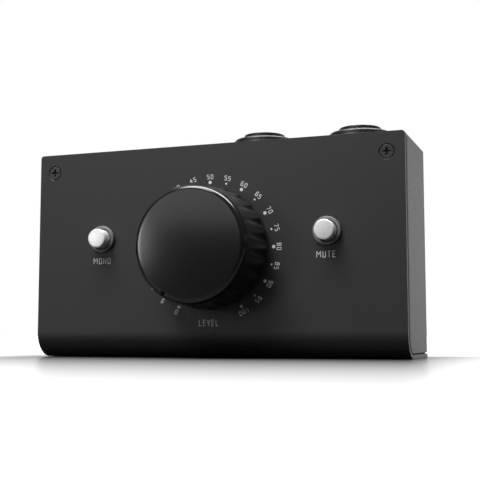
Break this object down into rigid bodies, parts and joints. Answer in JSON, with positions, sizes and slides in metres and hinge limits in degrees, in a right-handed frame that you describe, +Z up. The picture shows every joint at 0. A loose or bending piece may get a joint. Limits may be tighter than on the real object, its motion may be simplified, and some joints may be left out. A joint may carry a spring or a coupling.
{
  "type": "studio monitor controller",
  "caption": "Desktop studio monitor controller: bent steel case with a large fluted level knob, push buttons and round sockets along its top plate.",
  "frame": {"origin": "on the underside, midway between the sides and midway between the front panel and the back", "axes": "+X to the right as seen from the front, -Y towards the user out of the front panel, +Z up"},
  "size_m": [0.154, 0.0672, 0.0902],
  "materials": {
    "case_paint": "fine black powder coat",
    "knob_plastic": "satin black moulding",
    "cap_silver": "satin silver",
    "bezel_grey": "satin grey",
    "socket_plastic": "black moulding",
    "zinc_steel": "zinc plated",
    "screw_black": "black oxide steel",
    "contact_brass": "plated brass",
    "foot_rubber": "matt black",
    "board_green": "glass-fibre board with green lacquer",
    "cable_grey": "soft grey insulation"
  },
  "bodies": {
    "case": {"front_cover": "case_paint", "chassis": "case_paint", "front_screw_left": "screw_black", "front_screw_right": "screw_black", "base_screw_left": "screw_black", "base_screw_right": "screw_black", "front_nut_left": "zinc_steel", "front_nut_right": "zinc_steel", "base_nut_left": "zinc_steel", "base_nut_right": "zinc_steel", "rear_foot_lower_left": "foot_rubber", "rear_foot_lower_right": "foot_rubber", "rear_foot_upper_left": "foot_rubber", "rear_foot_upper_right": "foot_rubber", "pot_bush": "zinc_steel", "pot_body": "zinc_steel", "pot_washer": "zinc_steel", "pot_nut": "zinc_steel", "mono_bezel": "bezel_grey", "mono_bezel_nut": "zinc_steel", "mono_switch": "socket_plastic", "mono_spring": "zinc_steel", "mute_bezel": "bezel_grey", "mute_bezel_nut": "zinc_steel", "mute_switch": "socket_plastic", "mute_spring": "zinc_steel", "front_board": "board_green", "connector_board": "board_green", "front_header": "socket_plastic", "connector_header": "socket_plastic", "ribbon_cable": "cable_grey", "output_left": "socket_plastic", "output_left_pin_1": "contact_brass", "output_left_pin_2": "contact_brass", "output_left_pin_3": "contact_brass", "output_left_screw_front": "screw_black", "output_left_screw_back": "screw_black", "output_right": "socket_plastic", "output_right_pin_1": "contact_brass", "output_right_pin_2": "contact_brass", "output_right_pin_3": "contact_brass", "output_right_screw_front": "screw_black", "output_right_screw_back": "screw_black", "input_left": "socket_plastic", "input_left_screw_front": "screw_black", "input_left_screw_back": "screw_black", "input_right": "socket_plastic", "input_right_screw_front": "screw_black", "input_right_screw_back": "screw_black", "aux_jack": "socket_plastic", "aux_nut": "zinc_steel", "aux_lead": "cable_grey"},
    "level_control": {"level_knob": "knob_plastic", "knob_ring": "zinc_steel", "pot_shaft": "zinc_steel"},
    "mono_button": {"mono_cap": "cap_silver", "mono_plunger": "socket_plastic"},
    "mute_button": {"mute_cap": "cap_silver", "mute_plunger": "socket_plastic"}
  },
  "joints": [
    {"name": "level_turn", "type": "hinge", "parent": "case", "child": "level_control", "pos_m": [0, -0.02125, 0.0424], "axis": [0, 1, 0], "range_deg": [0, 300]},
    {"name": "mono_press", "type": "slide", "parent": "case", "child": "mono_button", "axis": [0, 1, 0], "range_m": [0, 0.003], "stiffness_N_per_m": 450, "springref_m": -0.001, "deforming": ["mono_spring"]},
    {"name": "mute_press", "type": "slide", "parent": "case", "child": "mute_button", "axis": [0, 1, 0], "range_m": [0, 0.003], "stiffness_N_per_m": 450, "springref_m": -0.001, "deforming": ["mute_spring"]}
  ]
}
